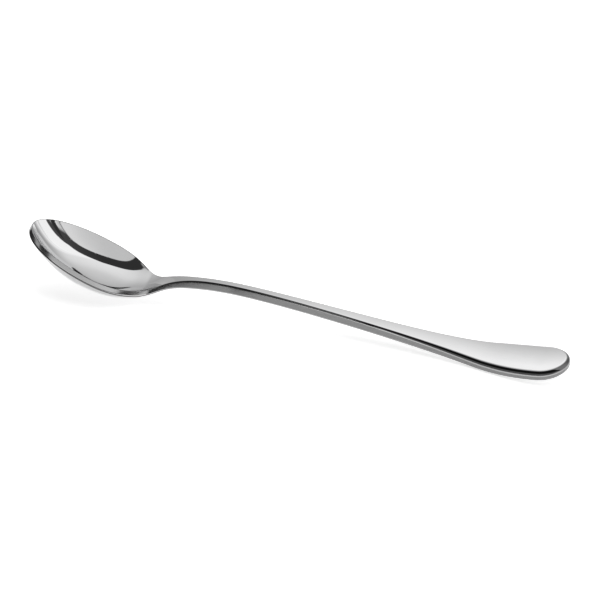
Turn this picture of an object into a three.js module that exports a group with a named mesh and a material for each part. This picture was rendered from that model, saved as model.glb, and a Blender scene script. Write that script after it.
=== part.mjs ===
// Long-handled spoon of polished stainless steel: one piece, modelled in its four zones,
// bowl, neck, stem and handle, which meet face to face.
// Millimetres, +Z up, the tip of the bowl towards -X, lying on a table at Z = 0.

import * as THREE from 'three';
import { mergeVertices } from 'three/addons/utils/BufferGeometryUtils.js';

// Lengths along the spoon
const SPOON_LENGTH = 200;
const BOWL_TIP_LENGTH = 25; // tip edge of the mouth to its widest station
const BOWL_HEEL_LENGTH = 18; // widest station to the lowest point of the rim
const BOWL_ROOT_LENGTH = 8; // lowest point of the rim to the root of the bowl
const NECK_TAPER_LENGTH = 26; // lowest point of the rim to the slimmest station
const NECK_RISE_LENGTH = 32.5; // lowest point of the rim to the top of the arch
const STEM_LENGTH = 32; // top of the arch to where the metal starts to thin
const HANDLE_LENGTH = 62; // flared handle, back from its end
const REST_SETBACK = 28.5; // line that the handle rests on, back from its end

// Widths between the upper edge lines
const BOWL_WIDTH = 25.8;
const NECK_WIDTH = 3.2;
const HANDLE_WIDTH = 18.5;

// Heights of the upper edge line
const TIP_RISE = 16.5; // tip above the lowest point of the rim
const ARCH_RISE = 6; // top of the arch above the lowest point of the rim
const END_LIFT = 3; // end of the handle above its resting line
const REST_FLAT_DEPTH = 0.1; // metal worn flat where the heel and the handle rest

// Hollow of the bowl and crown of the handle
const BOWL_DEPTH = 7.4;
const HANDLE_CROWN = 0.6;

// Thickness of the metal
const RIM_THICKNESS = 2.2;
const FLOOR_THICKNESS = 2.2;
const STEM_THICKNESS = 3.7;
const HANDLE_THICKNESS = 3.2;

// Rounded edges
const RIM_UPPER_RADIUS = 0.3;
const STEM_UPPER_RADIUS = 0.75;
const HANDLE_UPPER_RADIUS = 1.7;
const RIM_LOWER_RADIUS = 0.6;
const HANDLE_LOWER_RADIUS = 0.7;

// Shape of the curves, without a unit
const TIP_SLOPE = 0.45; // fall of the edge line behind the tip
const END_SLOPE = 0.25; // rise of the edge line at the end of the handle
const DISH_FULLNESS = 0.85; // 0 is a parabola across the bowl, more gives steeper walls
const DISH_LEAN = 0.55; // moves the deepest place towards the tip
const RIM_LEAN = 0.6; // 0 is an upright side of the rim, 1 is square to the wall
const SPINE_BLEND = 0.35; // share of a section over which the underside turns with the wall
const ARC = 0.5523; // cubic curve's handle for a quarter round
// How far a curve holds its end direction, as a share of its own length
const HOLD_RATIO = {
  neck: 0.71,
  flareStart: 0.9,
  flareEnd: 0.24,
  rimStart: 0.25,
  rimEnd: 0.08,
  heel: 0.25,
  arch: 0.76,
  stem: 0.235,
  rest: 0.13,
  endStart: 0.33,
  end: 0.3,
};

// Facets
const TIP_RAYS = 16;
const SHOULDER_RAYS = 12;
const NECK_RAYS = 9;
const STEM_RAYS = 9;
const HANDLE_RAYS = 14;
const END_RAYS = 10;
const FACE_STEPS = 8;
const ROUND_STEPS = 3;

// Fineness of the searches along the curves
const HALVINGS = 40;
const SCAN_STEP = 0.25;
const SLOPE_STEP = 0.01;
const MERGE_DISTANCE = 0.0001;

// Wall angle at the tip and how far the rim reaches past its upper edge line there
const tipWall = Math.atan(
  (2 * BOWL_DEPTH * (1 + DISH_LEAN) * (1 + DISH_FULLNESS)) / BOWL_TIP_LENGTH + TIP_SLOPE
);
const tipLean = RIM_LEAN * tipWall;
const tipOverhang =
  (RIM_THICKNESS - RIM_LOWER_RADIUS) * Math.sin(tipLean) + RIM_LOWER_RADIUS * (1 - Math.cos(tipLean));

// Stations along the spoon, from the outermost point of the tip
const tipAt = tipOverhang;
const widestAt = tipAt + BOWL_TIP_LENGTH;
const shoulderAt = widestAt + BOWL_HEEL_LENGTH / 2;
const rimLowAt = widestAt + BOWL_HEEL_LENGTH;
const rootAt = rimLowAt + BOWL_ROOT_LENGTH;
const neckAt = rimLowAt + NECK_TAPER_LENGTH;
const archAt = rimLowAt + NECK_RISE_LENGTH;
const thinAt = archAt + STEM_LENGTH;
const handleAt = SPOON_LENGTH - HANDLE_LENGTH;
const restAt = SPOON_LENGTH - REST_SETBACK;
const endCentre = SPOON_LENGTH - HANDLE_WIDTH / 2;

const bowlHalf = BOWL_WIDTH / 2;
const neckHalf = NECK_WIDTH / 2;
const handleHalf = HANDLE_WIDTH / 2;

const { smootherstep, lerp } = THREE.MathUtils;

// Curve of a value along x, with the direction held at each end
function curve([x0, v0, hold0, slope0], [x1, v1, hold1, slope1]) {
  const run = x1 - x0;
  return new THREE.CubicBezierCurve(
    new THREE.Vector2(x0, v0),
    new THREE.Vector2(x0 + hold0 * run, v0 + slope0 * hold0 * run),
    new THREE.Vector2(x1 - hold1 * run, v1 - slope1 * hold1 * run),
    new THREE.Vector2(x1, v1)
  );
}

// Value at x on the curve of a row that reaches it
function valueAt(curves, x) {
  const found = curves.find((item) => x <= item.v3.x) ?? curves[curves.length - 1];
  let low = 0;
  let high = 1;
  for (let count = 0; count < HALVINGS; count += 1) {
    const middle = (low + high) / 2;
    if (found.getPoint(middle).x < x) low = middle;
    else high = middle;
  }
  return found.getPoint((low + high) / 2).y;
}

// Plan outline: an ellipse at the tip, two sweeps through the neck, a round end
// The first sweep starts with the curvature that the ellipse ends with
const sweepHandle = BOWL_TIP_LENGTH * Math.sqrt((2 * (bowlHalf - neckHalf)) / (3 * bowlHalf));
const sweepHold = sweepHandle / (neckAt - widestAt);
const outline = [
  curve([widestAt, bowlHalf, sweepHold, 0], [neckAt, neckHalf, HOLD_RATIO.neck, 0]),
  curve([neckAt, neckHalf, HOLD_RATIO.flareStart, 0], [endCentre, handleHalf, HOLD_RATIO.flareEnd, 0]),
];

function halfWidthSquared(x) {
  if (x < widestAt) return bowlHalf ** 2 * (1 - ((widestAt - x) / BOWL_TIP_LENGTH) ** 2);
  if (x > endCentre) return handleHalf ** 2 - (x - endCentre) ** 2;
  return valueAt(outline, x) ** 2;
}

function along(x, atBowl, atStem, atHandle, from) {
  const toStem = lerp(atBowl, atStem, smootherstep(x, from, neckAt));
  return toStem + (atHandle - atStem) * smootherstep(x, thinAt, endCentre);
}

const thickness = (x) => along(x, RIM_THICKNESS, STEM_THICKNESS, HANDLE_THICKNESS, rimLowAt);
const upperRadius = (x) => along(x, RIM_UPPER_RADIUS, STEM_UPPER_RADIUS, HANDLE_UPPER_RADIUS, shoulderAt);
const lowerRadius = (x) => along(x, RIM_LOWER_RADIUS, HANDLE_LOWER_RADIUS, HANDLE_LOWER_RADIUS, shoulderAt);
const bowlShare = (x) => 1 - smootherstep(x, shoulderAt, neckAt);

// Side view of the upper edge line over a given height of the rim's lowest point
function edgeLine(rimLow) {
  const restTop = thickness(restAt) - REST_FLAT_DEPTH;
  const archTop = rimLow + ARCH_RISE;
  const tipTop = rimLow + TIP_RISE;
  const endTop = restTop + END_LIFT;
  return [
    curve([tipAt, tipTop, HOLD_RATIO.rimStart, -TIP_SLOPE], [rimLowAt, rimLow, HOLD_RATIO.rimEnd, 0]),
    curve([rimLowAt, rimLow, HOLD_RATIO.heel, 0], [archAt, archTop, HOLD_RATIO.arch, 0]),
    curve([archAt, archTop, HOLD_RATIO.stem, 0], [restAt, restTop, HOLD_RATIO.rest, 0]),
    curve([restAt, restTop, HOLD_RATIO.endStart, 0], [SPOON_LENGTH, endTop, HOLD_RATIO.end, END_SLOPE]),
  ];
}

function dish(x, y) {
  const inside = (halfWidthSquared(x) - y * y) / bowlHalf ** 2;
  const depth = BOWL_DEPTH * (1 + (DISH_LEAN * (widestAt - x)) / BOWL_TIP_LENGTH);
  return depth * (1 - smootherstep(x, rimLowAt, neckAt)) * inside * (1 + DISH_FULLNESS * (1 - inside));
}

function crown(x, y) {
  const inside = (halfWidthSquared(x) - y * y) / handleHalf ** 2;
  return HANDLE_CROWN * smootherstep(x, neckAt, thinAt) * inside;
}

// Metal under the upper face, from the rim's thickness to the floor's in the bowl, flat under the handle
function depthOfMetal(x, y, share) {
  const thinning = (RIM_THICKNESS - FLOOR_THICKNESS) * bowlShare(x) * (1 - share * share);
  return thickness(x) - thinning + crown(x, y);
}

// Height that lets the heel of the bowl rest on the table
function restingRimHeight() {
  const loose = edgeLine(0);
  let lowest = Infinity;
  for (let x = widestAt; x < neckAt; x += SCAN_STEP) {
    const underside = valueAt(loose, x) - dish(x, 0) - depthOfMetal(x, 0, 0);
    lowest = Math.min(lowest, underside);
  }
  return -lowest - REST_FLAT_DEPTH;
}

const edge = edgeLine(restingRimHeight());
const upperFace = (x, y) => valueAt(edge, x) - dish(x, y) + crown(x, y);

// Rays in plan from the spine to the upper edge line
function tipRay(share) {
  const turn = (share * Math.PI) / 2;
  const reach = BOWL_TIP_LENGTH * Math.cos(turn);
  const foot = widestAt - reach * (1 - (bowlHalf / BOWL_TIP_LENGTH) ** 2);
  return { foot, x: widestAt - reach, y: bowlHalf * Math.sin(turn) };
}

function crossRay(x) {
  return { foot: x, x, y: Math.sqrt(halfWidthSquared(x)) };
}

function endRay(share) {
  const turn = (share * Math.PI) / 2;
  return { foot: endCentre, x: endCentre + handleHalf * Math.sin(turn), y: handleHalf * Math.cos(turn) };
}

const steps = (count) => Array.from({ length: count + 1 }, (_, index) => index / count);
const rayRow = (from, to, count) => steps(count).map((share) => crossRay(lerp(from, to, share)));

// Quarter round from one point to another, drawn towards a corner
function roundCorner(start, corner, end) {
  const turn = new THREE.CubicBezierCurve(
    start,
    start.clone().lerp(corner, ARC),
    end.clone().lerp(corner, ARC),
    end
  );
  return turn.getPoints(ROUND_STEPS);
}

// Half section on a ray: upper face, rim or side with its two rounds, underside, back to the spine
function halfSection(ray) {
  const reach = Math.hypot(ray.x - ray.foot, ray.y);
  const direction = new THREE.Vector2(ray.x - ray.foot, ray.y).divideScalar(reach);
  const place = (r) => [ray.foot + direction.x * r, direction.y * r];
  const upper = (r) => new THREE.Vector2(r, upperFace(...place(r)));
  const wallAngle = (r) => Math.atan((upper(r).y - upper(r - SLOPE_STEP).y) / SLOPE_STEP);

  const metal = thickness(ray.x);
  const upperRound = upperRadius(ray.x);
  const lowerRound = lowerRadius(ray.x);
  const lean = RIM_LEAN * bowlShare(ray.x);
  const rimAngle = wallAngle(reach);
  const down = new THREE.Vector2(Math.sin(rimAngle * lean), -Math.cos(rimAngle * lean));

  const lower = (r) => {
    const share = r / reach;
    const angle = wallAngle(r) * lean * smootherstep(share, 0, SPINE_BLEND);
    const depth = depthOfMetal(...place(r), share);
    return upper(r).add(new THREE.Vector2(Math.sin(angle), -Math.cos(angle)).multiplyScalar(depth));
  };

  const upperReach = reach - upperRound * Math.cos(rimAngle);
  const lowerReach = reach - lowerRound * Math.cos(rimAngle);
  const upperCorner = upper(reach);
  const lowerCorner = upperCorner.clone().addScaledVector(down, metal);
  const sideTop = upperCorner.clone().addScaledVector(down, upperRound);
  const sideBottom = lowerCorner.clone().addScaledVector(down, -lowerRound);

  const section = [
    ...steps(FACE_STEPS).slice(0, -1).map((share) => upper(upperReach * share)),
    ...roundCorner(upper(upperReach), upperCorner, sideTop),
    ...roundCorner(sideBottom, lowerCorner, lower(lowerReach)),
    ...steps(FACE_STEPS).slice(1).map((share) => lower(lowerReach * (1 - share))),
  ];
  return section.map((point) => {
    const [x, y] = place(point.x);
    return new THREE.Vector3(x - SPOON_LENGTH / 2, y, Math.max(point.y, 0));
  });
}

// Closed ring on a ray: the half section and its mirror image
function ring(ray) {
  const half = halfSection(ray);
  const mirrored = half.slice(1, -1).reverse();
  return [...half, ...mirrored.map((point) => new THREE.Vector3(point.x, -point.y, point.z))];
}

function sideTriangles(first, second) {
  return first.flatMap((point, index) => {
    const next = (index + 1) % first.length;
    return [point, second[index], second[next], point, second[next], first[next]];
  });
}

// Flat end of a zone, facing along +X or -X: strips from the upper face down to the underside
function capTriangles(points, facing) {
  const last = points.length / 2;
  const mirror = (index) => (points.length - index) % points.length;
  const strip = (a, b, c, d, turned) => (turned ? [a, c, b, a, d, c] : [a, b, c, a, c, d]);
  const triangles = [];
  for (let upper = 0; upper + 1 < last - upper; upper += 1) {
    const corners = [upper, upper + 1, last - upper - 1, last - upper];
    triangles.push(...strip(...corners, facing > 0));
    triangles.push(...strip(...corners.map(mirror), facing < 0));
  }
  return triangles.map((index) => points[index]);
}

function withoutSlivers(geometry) {
  const merged = mergeVertices(geometry, MERGE_DISTANCE);
  const kept = [];
  const index = merged.index.array;
  for (let start = 0; start < index.length; start += 3) {
    const [a, b, c] = index.slice(start, start + 3);
    if (a !== b && b !== c && c !== a) kept.push(a, b, c);
  }
  merged.setIndex(kept);
  merged.computeVertexNormals();
  return merged;
}

const steel = new THREE.MeshStandardMaterial({ color: 0xc9cacc, metalness: 1, roughness: 0.08 });

// One zone of the spoon, with a flat cut where it meets its neighbour
function zone(name, rays, { cutAtStart, cutAtEnd }) {
  const rings = rays.map(ring);
  const triangles = rings.slice(1).flatMap((second, index) => sideTriangles(rings[index], second));
  if (cutAtStart) triangles.push(...capTriangles(rings[0], -1));
  if (cutAtEnd) triangles.push(...capTriangles(rings[rings.length - 1], 1));
  const geometry = withoutSlivers(new THREE.BufferGeometry().setFromPoints(triangles));
  const mesh = new THREE.Mesh(geometry, steel.clone());
  mesh.name = name;
  return mesh;
}

function bowl() {
  const rays = [...steps(TIP_RAYS).slice(0, -1).map(tipRay), ...rayRow(widestAt, rootAt, SHOULDER_RAYS)];
  return zone('bowl', rays, { cutAtStart: false, cutAtEnd: true });
}

function neck() {
  return zone('neck', rayRow(rootAt, archAt, NECK_RAYS), { cutAtStart: true, cutAtEnd: true });
}

function stem() {
  return zone('stem', rayRow(archAt, handleAt, STEM_RAYS), { cutAtStart: true, cutAtEnd: true });
}

function handle() {
  const rays = [...rayRow(handleAt, endCentre, HANDLE_RAYS), ...steps(END_RAYS).slice(1).map(endRay)];
  return zone('handle', rays, { cutAtStart: true, cutAtEnd: false });
}

const spoon = new THREE.Group();
spoon.add(bowl(), neck(), stem(), handle());

export default spoon;
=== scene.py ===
import math

import bpy
import numpy as np
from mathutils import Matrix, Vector


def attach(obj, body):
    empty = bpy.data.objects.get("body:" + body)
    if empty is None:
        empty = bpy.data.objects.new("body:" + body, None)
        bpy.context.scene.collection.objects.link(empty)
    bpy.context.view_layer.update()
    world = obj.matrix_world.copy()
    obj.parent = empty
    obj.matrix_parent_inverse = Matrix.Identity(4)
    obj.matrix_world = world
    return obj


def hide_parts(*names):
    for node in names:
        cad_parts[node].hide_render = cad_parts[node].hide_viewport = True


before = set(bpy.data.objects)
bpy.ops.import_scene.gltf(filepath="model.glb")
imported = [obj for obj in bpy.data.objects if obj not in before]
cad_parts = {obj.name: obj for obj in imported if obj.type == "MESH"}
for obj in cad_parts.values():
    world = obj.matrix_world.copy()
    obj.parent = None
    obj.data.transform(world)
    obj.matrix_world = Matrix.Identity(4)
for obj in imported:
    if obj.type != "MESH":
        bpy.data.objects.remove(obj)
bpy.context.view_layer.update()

MM = 0.001

# Lengths along the spoon, millimetres
SPOON_LENGTH = 200.0
BOWL_TIP_LENGTH = 25.0
BOWL_HEEL_LENGTH = 18.0
BOWL_ROOT_LENGTH = 8.0
NECK_TAPER_LENGTH = 26.0
NECK_RISE_LENGTH = 32.5
STEM_LENGTH = 32.0
HANDLE_LENGTH = 62.0
REST_SETBACK = 28.5

# Widths between the upper edge lines
BOWL_WIDTH = 25.8
NECK_WIDTH = 3.2
HANDLE_WIDTH = 18.5

# Heights of the upper edge line
TIP_RISE = 16.5
ARCH_RISE = 6.0
END_LIFT = 3.0
REST_FLAT_DEPTH = 0.1

# Hollow, crown, thickness and rounded edges
BOWL_DEPTH = 7.4
HANDLE_CROWN = 0.6
RIM_THICKNESS = 2.2
FLOOR_THICKNESS = 2.2
STEM_THICKNESS = 3.7
HANDLE_THICKNESS = 3.2
RIM_UPPER_RADIUS = 0.3
STEM_UPPER_RADIUS = 0.75
HANDLE_UPPER_RADIUS = 1.7
RIM_LOWER_RADIUS = 0.6
HANDLE_LOWER_RADIUS = 0.7

# Shape of the curves
TIP_SLOPE = 0.45
END_SLOPE = 0.25
DISH_FULLNESS = 0.85
DISH_LEAN = 0.55
RIM_LEAN = 0.6
SPINE_BLEND = 0.35
ARC = 0.5523
HOLD = {
    "neck": 0.71, "flare_start": 0.9, "flare_end": 0.24, "rim_start": 0.25, "rim_end": 0.08,
    "heel": 0.25, "arch": 0.76, "stem": 0.235, "rest": 0.13, "end_start": 0.33, "end": 0.3,
}

# Fineness of the skin
TIP_RAYS = 72
SHOULDER_RAYS = 64
NECK_RAYS = 48
STEM_RAYS = 72
HANDLE_RAYS = 80
END_RAYS = 56
FACE_STEPS = 40
ROUND_STEPS = 8
SIDE_STEPS = 4
CURVE_SAMPLES = 4000
SLOPE_STEP = 0.001
MERGE_DECIMALS = 5

# Photograph's view
VIEW_AZIMUTH = math.radians(20.0)
VIEW_ELEVATION = math.radians(31.0)
VIEW_DISTANCE = 708.0
VIEW_TARGET = (3.4, 0.0, 9.68)
LENS_MM = 121.58
SENSOR_MM = 36.0


def curve(start, end):
    """Points of a cubic curve of a value along x, with the direction held at each end."""
    (x0, v0, hold0, slope0), (x1, v1, hold1, slope1) = start, end
    run = x1 - x0
    t = np.linspace(0.0, 1.0, CURVE_SAMPLES)

    def cubic(a, b, c, d):
        return (1 - t) ** 3 * a + 3 * (1 - t) ** 2 * t * b + 3 * (1 - t) * t * t * c + t**3 * d

    xs = cubic(x0, x0 + hold0 * run, x1 - hold1 * run, x1)
    values = cubic(v0, v0 + slope0 * hold0 * run, v1 - slope1 * hold1 * run, v1)
    return xs, values


def chain(*curves):
    """One row of curves as a function of x."""
    xs = np.concatenate([c[0] for c in curves])
    values = np.concatenate([c[1] for c in curves])
    return lambda x: np.interp(x, xs, values)


def smoother(x, low, high):
    t = np.clip((x - low) / (high - low), 0.0, 1.0)
    return t**3 * (t * (6 * t - 15) + 10)


# Stations along the spoon, from the outermost point of the tip
tip_wall = math.atan(
    2 * BOWL_DEPTH * (1 + DISH_LEAN) * (1 + DISH_FULLNESS) / BOWL_TIP_LENGTH + TIP_SLOPE
)
tip_lean = RIM_LEAN * tip_wall
side_overhang = (RIM_THICKNESS - RIM_LOWER_RADIUS) * math.sin(tip_lean)
tip_at = side_overhang + RIM_LOWER_RADIUS * (1 - math.cos(tip_lean))
widest_at = tip_at + BOWL_TIP_LENGTH
shoulder_at = widest_at + BOWL_HEEL_LENGTH / 2
rim_low_at = widest_at + BOWL_HEEL_LENGTH
root_at = rim_low_at + BOWL_ROOT_LENGTH
neck_at = rim_low_at + NECK_TAPER_LENGTH
arch_at = rim_low_at + NECK_RISE_LENGTH
thin_at = arch_at + STEM_LENGTH
handle_at = SPOON_LENGTH - HANDLE_LENGTH
rest_at = SPOON_LENGTH - REST_SETBACK
end_centre = SPOON_LENGTH - HANDLE_WIDTH / 2
bowl_half, neck_half, handle_half = BOWL_WIDTH / 2, NECK_WIDTH / 2, HANDLE_WIDTH / 2

sweep_handle = BOWL_TIP_LENGTH * math.sqrt(2 * (bowl_half - neck_half) / (3 * bowl_half))
sweep_hold = sweep_handle / (neck_at - widest_at)
outline = chain(
    curve((widest_at, bowl_half, sweep_hold, 0), (neck_at, neck_half, HOLD["neck"], 0)),
    curve((neck_at, neck_half, HOLD["flare_start"], 0), (end_centre, handle_half, HOLD["flare_end"], 0)),
)


def half_width_squared(x):
    tip = bowl_half**2 * (1 - ((widest_at - x) / BOWL_TIP_LENGTH) ** 2)
    end = handle_half**2 - (x - end_centre) ** 2
    return np.where(x < widest_at, tip, np.where(x > end_centre, end, outline(x) ** 2))


def along(x, at_bowl, at_stem, at_handle, start):
    to_stem = at_bowl + (at_stem - at_bowl) * smoother(x, start, neck_at)
    return to_stem + (at_handle - at_stem) * smoother(x, thin_at, end_centre)


def thickness(x):
    return along(x, RIM_THICKNESS, STEM_THICKNESS, HANDLE_THICKNESS, rim_low_at)


def upper_radius(x):
    return along(x, RIM_UPPER_RADIUS, STEM_UPPER_RADIUS, HANDLE_UPPER_RADIUS, shoulder_at)


def lower_radius(x):
    return along(x, RIM_LOWER_RADIUS, HANDLE_LOWER_RADIUS, HANDLE_LOWER_RADIUS, shoulder_at)


def bowl_share(x):
    return 1 - smoother(x, shoulder_at, neck_at)


def edge_line(rim_low):
    """Side view of the upper edge line over a given height of the rim's lowest point."""
    rest_top = float(thickness(np.array(rest_at))) - REST_FLAT_DEPTH
    arch_top = rim_low + ARCH_RISE
    tip = (tip_at, rim_low + TIP_RISE, HOLD["rim_start"], -TIP_SLOPE)
    end = (SPOON_LENGTH, rest_top + END_LIFT, HOLD["end"], END_SLOPE)
    return chain(
        curve(tip, (rim_low_at, rim_low, HOLD["rim_end"], 0)),
        curve((rim_low_at, rim_low, HOLD["heel"], 0), (arch_at, arch_top, HOLD["arch"], 0)),
        curve((arch_at, arch_top, HOLD["stem"], 0), (rest_at, rest_top, HOLD["rest"], 0)),
        curve((rest_at, rest_top, HOLD["end_start"], 0), end),
    )


def dish(x, y):
    inside = (half_width_squared(x) - y * y) / bowl_half**2
    depth = BOWL_DEPTH * (1 + DISH_LEAN * (widest_at - x) / BOWL_TIP_LENGTH)
    return depth * (1 - smoother(x, rim_low_at, neck_at)) * inside * (1 + DISH_FULLNESS * (1 - inside))


def crown(x, y):
    inside = (half_width_squared(x) - y * y) / handle_half**2
    return HANDLE_CROWN * smoother(x, neck_at, thin_at) * inside


def depth_of_metal(x, y, share):
    thinning = (RIM_THICKNESS - FLOOR_THICKNESS) * bowl_share(x) * (1 - share * share)
    return thickness(x) - thinning + crown(x, y)


def resting_rim_height():
    x = np.linspace(widest_at, neck_at, CURVE_SAMPLES)
    zero = np.zeros_like(x)
    underside = edge_line(0.0)(x) - dish(x, zero) - depth_of_metal(x, zero, zero)
    return -float(underside.min()) - REST_FLAT_DEPTH


edge_height = edge_line(resting_rim_height())


def upper_face(x, y):
    return edge_height(x) - dish(x, y) + crown(x, y)


def rays():
    """Feet on the spine and ends on the upper edge line, with the rows where the zones meet."""
    turn = np.linspace(0, math.pi / 2, TIP_RAYS + 1)[:-1]
    reach = BOWL_TIP_LENGTH * np.cos(turn)
    tip = (
        widest_at - reach * (1 - (bowl_half / BOWL_TIP_LENGTH) ** 2),
        widest_at - reach,
        bowl_half * np.sin(turn),
    )
    cuts = [widest_at, root_at, arch_at, handle_at, end_centre]
    counts = [SHOULDER_RAYS, NECK_RAYS, STEM_RAYS, HANDLE_RAYS]
    rows = [np.linspace(a, b, n, endpoint=False) for a, b, n in zip(cuts, cuts[1:], counts)]
    cross = np.concatenate(rows)
    turn = np.linspace(0, math.pi / 2, END_RAYS + 1)
    end = (
        np.full(END_RAYS + 1, end_centre),
        end_centre + handle_half * np.sin(turn),
        handle_half * np.cos(turn),
    )
    half = np.sqrt(half_width_squared(cross))
    foot = np.concatenate([tip[0], cross, end[0]])
    x = np.concatenate([tip[1], cross, end[1]])
    y = np.concatenate([tip[2], half, end[2]])
    starts = TIP_RAYS + np.cumsum(counts)
    return foot, x, y, starts[:3]


def round_corner(start, corner, end):
    t = np.linspace(0, 1, ROUND_STEPS + 1)[None, :]
    parts = []
    for a, c, b in zip(start, corner, end):
        a, c, b = a[:, None], c[:, None], b[:, None]
        p, q = a + ARC * (c - a), b + ARC * (c - b)
        parts.append((1 - t) ** 3 * a + 3 * (1 - t) ** 2 * t * p + 3 * (1 - t) * t * t * q + t**3 * b)
    return parts


def half_sections(foot, x, y):
    """Half sections on all rays: upper face, upper round, side, lower round, underside."""
    reach = np.hypot(x - foot, y)
    direction = np.stack([(x - foot) / reach, y / reach], -1)

    def place(r):
        return foot[:, None] + direction[:, :1] * r, direction[:, 1:] * r

    def upper(r):
        return upper_face(*place(r))

    def wall_angle(r):
        return np.arctan((upper(r + SLOPE_STEP) - upper(r - SLOPE_STEP)) / (2 * SLOPE_STEP))

    metal, hollow = thickness(x), bowl_share(x)
    lean = RIM_LEAN * hollow
    upper_round, lower_round = upper_radius(x), lower_radius(x)
    rim_angle = wall_angle(reach[:, None])[:, 0]
    down = (np.sin(rim_angle * lean), -np.cos(rim_angle * lean))

    def lower(r):
        share = r / reach[:, None]
        angle = wall_angle(r) * lean[:, None] * smoother(share, 0.0, SPINE_BLEND)
        px, py = place(r)
        thinning = (RIM_THICKNESS - FLOOR_THICKNESS) * hollow[:, None] * (1 - share * share)
        depth = metal[:, None] - thinning + crown(px, py)
        return r + depth * np.sin(angle), upper(r) - depth * np.cos(angle)

    share = np.linspace(0, 1, FACE_STEPS + 1)[None, :]
    top_r = (reach - upper_round * np.cos(rim_angle))[:, None] * share
    top_z = upper(top_r)
    corner = (reach, upper(reach[:, None])[:, 0])
    low_corner = (corner[0] + metal * down[0], corner[1] + metal * down[1])
    side_top = (corner[0] + upper_round * down[0], corner[1] + upper_round * down[1])
    side_low = (low_corner[0] - lower_round * down[0], low_corner[1] - lower_round * down[1])
    under_r, under_z = lower((reach - lower_round * np.cos(rim_angle))[:, None] * share[:, ::-1])

    first = round_corner((top_r[:, -1], top_z[:, -1]), corner, side_top)
    second = round_corner(side_low, low_corner, (under_r[:, 0], under_z[:, 0]))
    t = np.linspace(0, 1, SIDE_STEPS + 1)[None, 1:-1]
    side = [a[:, None] + (b - a)[:, None] * t for a, b in zip(side_top, side_low)]
    r = np.hstack([top_r[:, :-1], first[0], side[0], second[0], under_r[:, 1:]])
    z = np.hstack([top_z[:, :-1], first[1], side[1], second[1], under_z[:, 1:]])
    px, py = place(r)
    return np.stack([px - SPOON_LENGTH / 2, py, np.maximum(z, 0.0)], -1)


def edge_shares():
    """How far each point of a half section belongs to the ground edge: 0 on the faces, 1 on the side."""
    ramp = np.linspace(0, 1, ROUND_STEPS + 1)
    return np.concatenate([
        np.zeros(FACE_STEPS), ramp, np.ones(SIDE_STEPS - 1), ramp[::-1], np.zeros(FACE_STEPS),
    ])


class Skin:
    """The whole skin as one grid of rings, from which each zone is cut with matching normals."""

    def __init__(self):
        foot, x, y, self.starts = rays()
        half = half_sections(foot, x, y)
        shares = edge_shares()
        mirrored = half[:, 1:-1][:, ::-1] * np.array([1.0, -1.0, 1.0])
        grid = np.concatenate([half, mirrored], 1)
        ring_shares = np.concatenate([shares, shares[1:-1][::-1]])
        self.rows, self.columns = grid.shape[:2]
        self.last = half.shape[1] - 1
        points = grid.reshape(-1, 3)
        keys = np.round(points, MERGE_DECIMALS) + 0.0
        _, first, inverse = np.unique(keys, axis=0, return_index=True, return_inverse=True)
        self.points = points[first]
        self.index = inverse.reshape(self.rows, self.columns)
        self.shares = np.tile(ring_shares, self.rows)[first]
        self.normals = self.vertex_normals()

    def side_faces(self, start, stop):
        """Faces between the rings from start to stop, without those that close to a line."""
        a, b = self.index[start:stop], self.index[start + 1:stop + 1]
        quads = np.stack([a, b, np.roll(b, -1, 1), np.roll(a, -1, 1)], -1).reshape(-1, 4)
        faces = []
        for quad in quads.tolist():
            corners = [v for i, v in enumerate(quad) if v != quad[i - 1]]
            if len(corners) == len(set(corners)) and len(corners) > 2:
                faces.append(corners)
        return faces

    def vertex_normals(self):
        normals = np.zeros_like(self.points)
        for face in self.side_faces(0, self.rows - 1):
            for i in range(1, len(face) - 1):
                a, b, c = face[0], face[i], face[i + 1]
                p = self.points
                turn = np.cross(p[b] - p[a], p[c] - p[a])
                normals[[a, b, c]] += turn
        return normals / np.linalg.norm(normals, axis=1, keepdims=True)

    def cap_faces(self, row, towards_end):
        """Flat end of a zone in strips from the upper face down to the underside."""
        ring = self.index[row]
        faces = []
        for i in range((self.last + 1) // 2):
            j = self.last - i
            for sign in (1, -1):
                corners = [ring[sign * k] for k in (i, i + 1, j - 1, j)]
                if (sign > 0) == towards_end:
                    corners.reverse()
                corners = [int(v) for n, v in enumerate(corners) if v != corners[n - 1]]
                if len(corners) > 2:
                    faces.append(corners)
        return faces

    def piece(self, name, start, stop):
        """One zone as a closed mesh whose skin has the normals of the whole spoon."""
        faces = self.side_faces(start, stop)
        skin_count = len(faces)
        if start > 0:
            faces += self.cap_faces(start, False)
        if stop < self.rows - 1:
            faces += self.cap_faces(stop, True)
        used = sorted({v for face in faces for v in face})
        local = {v: i for i, v in enumerate(used)}
        mesh = bpy.data.meshes.new(name)
        mesh.from_pydata(
            (self.points[used] * MM).tolist(), [], [[local[v] for v in face] for face in faces]
        )
        shares = mesh.attributes.new("edge_share", "FLOAT", "POINT")
        shares.data.foreach_set("value", self.shares[used].astype(np.float32))
        mesh.shade_smooth()
        normals = []
        for number, face in enumerate(faces):
            flat = Vector(mesh.polygons[number].normal)
            normals += [tuple(self.normals[v]) if number < skin_count else tuple(flat) for v in face]
        mesh.normals_split_custom_set(normals)
        piece = bpy.data.objects.new(name, mesh)
        bpy.context.scene.collection.objects.link(piece)
        return piece


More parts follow.
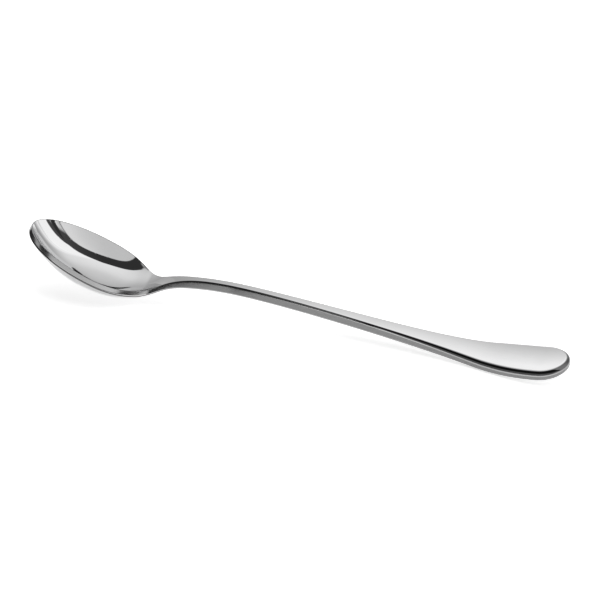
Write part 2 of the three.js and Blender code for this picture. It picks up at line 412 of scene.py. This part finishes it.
class Nodes:
    """Short names for the nodes of one tree."""

    def __init__(self, tree):
        self.tree = tree
        tree.nodes.clear()

    def add(self, kind, inputs=None, **settings):
        node = self.tree.nodes.new(kind)
        for key, value in settings.items():
            setattr(node, key, value)
        for key, value in (inputs or {}).items():
            if isinstance(value, bpy.types.NodeSocket):
                self.tree.links.new(value, node.inputs[key])
            else:
                node.inputs[key].default_value = value
        return node

    def math(self, operation, *values):
        return self.add("ShaderNodeMath", dict(enumerate(values)), operation=operation).outputs[0]

    def ramp(self, value, low, high, out_low, out_high, kind="LINEAR"):
        inputs = {"Value": value, 1: low, 2: high, 3: out_low, 4: out_high}
        return self.add("ShaderNodeMapRange", inputs, interpolation_type=kind).outputs[0]

    def mix(self, share, first, second):
        return self.add("ShaderNodeMix", {0: share, 2: first, 3: second}).outputs[0]

    def mix_colour(self, share, first, second):
        inputs = {0: share, 6: first, 7: second}
        return self.add("ShaderNodeMix", inputs, data_type="RGBA").outputs[2]

    def dot(self, vector, direction):
        inputs = {0: vector, 1: tuple(direction)}
        return self.add("ShaderNodeVectorMath", inputs, operation="DOT_PRODUCT").outputs["Value"]

    def glow(self, strength):
        return self.add("ShaderNodeEmission", {"Color": WHITE, "Strength": strength})

    def noise(self, vector, scale, detail=2.0, roughness=0.5):
        inputs = {"Vector": vector, "Scale": scale, "Detail": detail, "Roughness": roughness}
        return self.add("ShaderNodeTexNoise", inputs).outputs["Fac"]

    def stretched(self, vector, scale):
        return self.add("ShaderNodeMapping", {"Vector": vector, "Scale": scale}).outputs[0]

    def steps(self, value, levels):
        """Grey levels over a value from 0 to 1, straight between the given places."""
        ramp = self.add("ShaderNodeValToRGB", {"Fac": value})
        while len(ramp.color_ramp.elements) < len(levels):
            ramp.color_ramp.elements.new(0.5)
        for element, (at, level) in zip(ramp.color_ramp.elements, levels):
            element.position = at
            element.color = (level, level, level, 1.0)
        return ramp.outputs[0]

    def finish(self, shader):
        out = self.add("ShaderNodeOutputMaterial")
        self.tree.links.new(shader.outputs[0], out.inputs[0])


def new_material(name):
    material = bpy.data.materials.new(name)
    material.use_nodes = True
    return material, Nodes(material.node_tree)


# Grain of the steel along, across and up, in turns per metre
POLISH_GRAIN = (60.0, 2600.0, 2600.0)
SCRATCH_GRAIN = (220.0, 1500.0, 900.0)
HAZE_GRAIN = 55.0
WAVE_GRAIN = 130.0

# Colours of the steel: polished faces; ground sides, whose darker colour is painted shade; and rounded
# edges, tinted dark as a painted reflection in place of the dark surroundings that they mirror in the
# photograph
POLISHED_BRIGHT, POLISHED_DULL = (0.6, 0.6, 0.603, 1.0), (0.56, 0.56, 0.563, 1.0)
PAINTED_SHADE_GROUND_DARK, PAINTED_SHADE_GROUND_PALE = (0.16, 0.16, 0.16, 1.0), (0.28, 0.28, 0.281, 1.0)
EDGE_PAINTED_REFLECTION = (0.05, 0.05, 0.051, 1.0)
WHITE = (1.0, 1.0, 1.0, 1.0)

# Places along the spoon, metres, over which the sides and edges change their finish, painted shade and
# painted reflection
ROOT_RANGE = (-0.06, -0.04)
HANDLE_RANGE = (0.01, 0.06)
BOWL_GROUND_AND_SHADE = 0.4
EDGE_NARROWING = 0.2


def polished_steel():
    """Mirror-polished stainless steel: fine polishing lines, hairline scratches, soft handling haze,
    with painted shade on the ground sides and a painted reflection on the rounded edges.
    """
    material, n = new_material("polished_steel")
    place = n.add("ShaderNodeTexCoord").outputs["Object"]
    edge = n.add("ShaderNodeAttribute", attribute_name="edge_share").outputs["Fac"]

    lines = n.noise(n.stretched(place, POLISH_GRAIN), 1.0, 3.0, 0.6)
    haze = n.noise(place, HAZE_GRAIN, 4.0, 0.55)
    scratch_field = n.noise(n.stretched(place, SCRATCH_GRAIN), 1.0, 1.0)
    scratches = n.ramp(scratch_field, 0.69, 0.74, 0.0, 1.0)
    wave = n.noise(place, WAVE_GRAIN, 1.0)

    along_spoon = n.add("ShaderNodeSeparateXYZ", {0: place}).outputs["X"]
    # Share of the ground side: a rougher finish, and a darker colour that is painted shade
    ground_and_shade = n.ramp(edge, 0.9, 1.0, 0.0, 1.0, "SMOOTHSTEP")
    ground_and_shade = n.math("MULTIPLY", ground_and_shade, n.ramp(along_spoon, *ROOT_RANGE, BOWL_GROUND_AND_SHADE, 1.0))
    finish = n.ramp(haze, 0.35, 0.75, 0.028, 0.055)
    finish = n.math("ADD", finish, n.math("MULTIPLY", scratches, 0.05))
    finish = n.math("ADD", finish, n.math("MULTIPLY", ground_and_shade, n.ramp(lines, 0.3, 0.7, 0.2, 0.36)))
    shade = n.ramp(n.math("ADD", haze, n.math("MULTIPLY", lines, 0.3)), 0.4, 0.9, 0.0, 1.0)
    polished = n.mix_colour(shade, POLISHED_BRIGHT, POLISHED_DULL)
    # Painted shade: the ground sides take a dark grey, with polishing lines in it, in place of the
    # shaded paper they mirror
    painted_shade_ground = n.mix_colour(lines, PAINTED_SHADE_GROUND_DARK, PAINTED_SHADE_GROUND_PALE)
    # Painted reflection: the rounded edges take a near-black colour in place of the dark surroundings
    # they mirror, over more of the round along the handle
    lower_edge = n.math("SUBTRACT", edge, n.ramp(along_spoon, *HANDLE_RANGE, 0.0, EDGE_NARROWING))
    turn = n.math("MULTIPLY", n.ramp(edge, 0.1, 0.25, 0.0, 0.9), n.ramp(lower_edge, 0.55, 0.8, 1.0, 0.0))
    colour = n.mix_colour(ground_and_shade, n.mix_colour(turn, polished, EDGE_PAINTED_REFLECTION), painted_shade_ground)

    relief = n.math("MULTIPLY", lines, 0.35)
    relief = n.math("SUBTRACT", relief, n.math("MULTIPLY", scratches, 0.6))
    relief = n.math("ADD", relief, wave)
    bump = n.add("ShaderNodeBump", {"Strength": 0.02, "Distance": 0.0002, "Height": relief})
    n.finish(n.add("ShaderNodeBsdfPrincipled", {
        "Base Color": colour, "Metallic": 1.0, "Roughness": finish, "Normal": bump.outputs[0],
    }))
    return material


# Directions as the photograph's camera has them: to its right, away from it, up
RIGHT = Vector((math.cos(VIEW_AZIMUTH), math.sin(VIEW_AZIMUTH), 0.0))
AWAY = Vector((-math.sin(VIEW_AZIMUTH), math.cos(VIEW_AZIMUTH), 0.0))
UP = Vector((0.0, 0.0, 1.0))

# Light of the studio: white paper is 1, and azimuth 0 is towards the camera, growing to its right
SKY_LEVELS = [
    (0.0, 0.55), (0.19, 0.58), (0.33, 0.63), (0.44, 0.7), (0.56, 0.82), (0.66, 0.97),
    (0.75, 1.12), (0.83, 1.2), (1.0, 1.3),
]
LIGHT_AZIMUTH = math.radians(75.0)
LIGHT_LEVEL = 1.5
DARK_LEVEL = 0.045
SUN_AZIMUTH = math.radians(150.0)
SUN_ELEVATION = math.radians(55.0)
SUN_WIDTH = math.radians(60.0)
SUN_STRENGTH = 0.4
PAPER_COLOUR = (0.85, 0.85, 0.85, 1.0)
PAPER_LIFT = 0.6
FLOOR_HALF_SIZE = 4000.0
FLOOR_DROP = 0.02

# Planes through the spoon that bound the dark gap over the camera, as right, away, up
GAP_BACK = (0.0, 1.0, -0.09)
GAP_RIGHT = (1.035, 1.0, -0.173)
GAP_RIGHT_TOP = (0.43, 1.0, 0.226)
GAP_LEFT = (-1.0, 0.53, -1.16)
GAP_LEFT_BACK = (-1.0, 1.55, -1.1)
GAP_LEFT_FOOT = (-1.0, 2.14, 0.0)
GAP_FOOT = (-0.165, -0.528, -0.745)

# Round grey card in front of the bowl, and the white card behind the handle, millimetres
BOWL_SPOT = (-68.0, 25.0)
DISC_AZIMUTH = math.radians(-15.0)
DISC_DISTANCE = 80.0
DISC_HEIGHT = 51.0
DISC_HALF_WIDTH = 78.0
DISC_HALF_HEIGHT = 125.0
DISC_FOOT = 30.0
DISC_FOOT_FADE = 6.0
DISC_STEPS = 64
CARD_LEFT, CARD_RIGHT = -35.0, 150.0
CARD_FADE = 70.0
CARD_BACK = 50.0
CARD_TOP = 120.0
CARD_LEVELS = [
    (0.0, 0.7), (0.15, 0.74), (0.25, 0.85), (0.34, 1.03), (0.46, 1.26), (0.58, 1.45), (1.0, 1.5),
]

# Smaller cards that stand on the paper: name, foot from and to as right and away, top, level
FLAGS = [
    ("stem_flag", (-13.0, -72.0), (-30.0, -5.0), 40.0, DARK_LEVEL),
    ("neck_flag", (-34.5, -20.0), (-51.0, 9.0), 48.0, DARK_LEVEL),
    ("neck_card", (-85.0, 48.0), (-15.0, 48.0), 14.0, 0.62),
    ("tip_flag", (-123.0, -10.0), (-123.0, 55.0), 36.0, DARK_LEVEL),
]


def studio_world():
    """Soft white studio, bright above and to the right, with a dark gap over the camera."""
    world = bpy.data.worlds.new("studio")
    world.use_nodes = True
    n = Nodes(world.node_tree)
    ray = n.add("ShaderNodeTexCoord").outputs["Generated"]

    def across(right, away, up):
        """Signed distance of the ray's direction from a plane through the spoon."""
        return n.dot(ray, (right * RIGHT + away * AWAY + up * UP).normalized())

    def inside(value, soft):
        return n.ramp(value, -soft, soft, 1.0, 0.0, "SMOOTHSTEP")

    height = across(0, 0, 1)
    sideways = across(1, 0, 0)
    sky = n.steps(height, SKY_LEVELS)
    sky = n.math("MULTIPLY", sky, n.ramp(sideways, -0.9, 0.1, 0.87, 1.0))
    level_part = n.math("SQRT", n.math("SUBTRACT", 1.0001, n.math("MULTIPLY", height, height)))
    towards_light = across(math.sin(LIGHT_AZIMUTH), -math.cos(LIGHT_AZIMUTH), 0)
    towards_light = n.math("DIVIDE", towards_light, level_part)
    light = n.ramp(towards_light, 0.66, 0.95, 0.0, 1.0, "SMOOTHSTEP")
    sky = n.mix(light, sky, LIGHT_LEVEL)

    gap_right = n.math("MINIMUM", across(*GAP_RIGHT), across(*GAP_RIGHT_TOP))
    gap_left = n.math("MAXIMUM", across(*GAP_LEFT), across(*GAP_LEFT_BACK))
    gap_left = n.math("MINIMUM", gap_left, across(*GAP_LEFT_FOOT))
    edges = n.math("MAXIMUM", n.math("MAXIMUM", across(*GAP_BACK), gap_right), gap_left)
    gap = n.math("MULTIPLY", inside(edges, 0.02), inside(across(*GAP_FOOT), 0.06))
    sky = n.mix(gap, sky, n.ramp(sideways, 0.0, 0.6, DARK_LEVEL, 2 * DARK_LEVEL))
    background = n.add("ShaderNodeBackground", {"Color": WHITE, "Strength": sky})
    out = n.add("ShaderNodeOutputWorld")
    n.tree.links.new(background.outputs[0], out.inputs[0])
    bpy.context.scene.world = world


def floor_material():
    """White paper: lit and shadowed as paper, lifted to white for what sees it."""
    material, n = new_material("white_paper")
    paper = n.add("ShaderNodeBsdfDiffuse", {"Color": PAPER_COLOUR})
    path = n.add("ShaderNodeLightPath").outputs
    seen = n.math("MAXIMUM", path["Is Camera Ray"], path["Is Glossy Ray"])
    seen = n.math("MAXIMUM", seen, path["Is Transmission Ray"])
    lift = n.glow(n.math("MULTIPLY", seen, PAPER_LIFT))
    n.finish(n.add("ShaderNodeAddShader", {0: paper.outputs[0], 1: lift.outputs[0]}))
    return material


def in_studio(right, away, up):
    """A place given as the camera has it, in metres."""
    return (right * RIGHT + away * AWAY + up * UP) * MM


def add_card(name, corners, material):
    """A card of the studio that the polished steel mirrors and the camera doesn't see."""
    mesh = bpy.data.meshes.new(name)
    mesh.from_pydata([tuple(corner) for corner in corners], [], [tuple(range(len(corners)))])
    card = bpy.data.objects.new(name, mesh)
    card.data.materials.append(material)
    card.visible_camera = card.visible_diffuse = card.visible_shadow = False
    bpy.context.scene.collection.objects.link(card)


def add_grey_disc():
    """Round grey card in front of the bowl, fading at its edge and brighter towards the light."""
    material, n = new_material("grey_disc")
    out = in_studio(math.sin(DISC_AZIMUTH), -math.cos(DISC_AZIMUTH), 0)
    side = in_studio(math.cos(DISC_AZIMUTH), math.sin(DISC_AZIMUTH), 0)
    centre = in_studio(*BOWL_SPOT, DISC_HEIGHT) + DISC_DISTANCE * out

    place = n.add("ShaderNodeTexCoord").outputs["Object"]
    offset = n.add("ShaderNodeVectorMath", {0: place, 1: tuple(centre)}, operation="SUBTRACT").outputs[0]

    def share(direction, half):
        return n.dot(offset, direction.normalized() / (half * MM))

    across, up = share(side, DISC_HALF_WIDTH), share(UP, DISC_HALF_HEIGHT)
    reach = n.math("ADD", n.math("MULTIPLY", across, across), n.math("MULTIPLY", up, up))
    level = n.ramp(across, -0.2, 0.7, 0.87, 1.12, "SMOOTHSTEP")
    foot = DISC_FOOT - DISC_HEIGHT
    above_foot = n.ramp(share(UP, 1.0), foot - DISC_FOOT_FADE, foot + DISC_FOOT_FADE, 0.0, 1.0)
    shown = n.math("MULTIPLY", above_foot, n.ramp(reach, 0.8, 1.0, 1.0, 0.0, "SMOOTHSTEP"))
    n.finish(n.glow(n.mix(shown, DARK_LEVEL, level)))

    corners = []
    for step in range(DISC_STEPS):
        turn = 2 * math.pi * step / DISC_STEPS
        corner = centre + math.cos(turn) * DISC_HALF_WIDTH * side
        corner += math.sin(turn) * DISC_HALF_HEIGHT * MM * UP
        corner.z = max(corner.z, MM)
        corners.append(corner)
    add_card("grey_disc", corners, material)


def add_white_card():
    """White card behind the handle, brighter upwards and fading out towards the stem."""
    material, n = new_material("white_card")
    place = n.add("ShaderNodeTexCoord").outputs["Object"]
    right, up = n.dot(place, RIGHT), n.dot(place, UP)
    level = n.steps(n.ramp(up, 0.0, CARD_TOP * MM, 0.0, 1.0), CARD_LEVELS)
    shown = n.ramp(right, CARD_LEFT * MM, (CARD_LEFT + CARD_FADE) * MM, 0.0, 1.0, "SMOOTHSTEP")
    clear = n.add("ShaderNodeBsdfTransparent")
    n.finish(n.add("ShaderNodeMixShader", {0: shown, 1: clear.outputs[0], 2: n.glow(level).outputs[0]}))
    add_card("white_card", [
        in_studio(CARD_LEFT, CARD_BACK, 0), in_studio(CARD_RIGHT, CARD_BACK, 0),
        in_studio(CARD_RIGHT, CARD_BACK, CARD_TOP), in_studio(CARD_LEFT, CARD_BACK, CARD_TOP),
    ], material)


def add_flags():
    """Standing cards: black ones beside stem, neck and tip, and a low grey one behind the neck."""
    for name, start, end, top, level in FLAGS:
        material, n = new_material(name)
        n.finish(n.glow(level))
        feet = [in_studio(*start, 0), in_studio(*end, 0)]
        add_card(name, feet + [in_studio(*end, top), in_studio(*start, top)], material)


def add_sun():
    """Wide soft lamp over the paper, from the far right, not mirrored in the steel."""
    lamp = bpy.data.lights.new("sun", "SUN")
    lamp.energy = SUN_STRENGTH
    lamp.angle = SUN_WIDTH
    sun = bpy.data.objects.new("sun", lamp)
    level = math.cos(SUN_ELEVATION)
    right, away = math.sin(SUN_AZIMUTH) * level, -math.cos(SUN_AZIMUTH) * level
    back = in_studio(right, away, math.sin(SUN_ELEVATION))
    sun.rotation_euler = back.to_track_quat("Z", "Y").to_euler()
    sun.visible_glossy = False
    bpy.context.scene.collection.objects.link(sun)


def add_floor():
    size, drop = FLOOR_HALF_SIZE * MM, FLOOR_DROP * MM
    mesh = bpy.data.meshes.new("floor")
    corners = [(-size, -size, -drop), (size, -size, -drop), (size, size, -drop), (-size, size, -drop)]
    mesh.from_pydata(corners, [], [(0, 1, 2, 3)])
    floor = bpy.data.objects.new("floor", mesh)
    floor.data.materials.append(floor_material())
    bpy.context.scene.collection.objects.link(floor)


def add_camera():
    camera = bpy.data.cameras.new("camera")
    camera.lens = LENS_MM
    camera.sensor_width = SENSOR_MM
    camera.clip_start = 0.01
    back = Vector((
        math.sin(VIEW_AZIMUTH) * math.cos(VIEW_ELEVATION),
        -math.cos(VIEW_AZIMUTH) * math.cos(VIEW_ELEVATION),
        math.sin(VIEW_ELEVATION),
    ))
    holder = bpy.data.objects.new("camera", camera)
    holder.location = (Vector(VIEW_TARGET) + VIEW_DISTANCE * back) * MM
    holder.rotation_euler = (-back).to_track_quat("-Z", "Y").to_euler()
    bpy.context.scene.collection.objects.link(holder)
    bpy.context.scene.camera = holder


def add_spoon():
    skin = Skin()
    steel = polished_steel()
    cuts = [0, *[int(row) for row in skin.starts], skin.rows - 1]
    for node, start, stop in zip(("bowl", "neck", "stem", "handle"), cuts, cuts[1:]):
        piece = skin.piece(node + "_skin", start, stop)
        piece.data.materials.append(steel)
        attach(piece, "root")
        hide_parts(node)


bpy.context.scene.view_settings.view_transform = "Standard"
add_camera()
add_spoon()
add_floor()
add_grey_disc()
add_white_card()
add_flags()
add_sun()
studio_world()

bpy.context.view_layer.update()
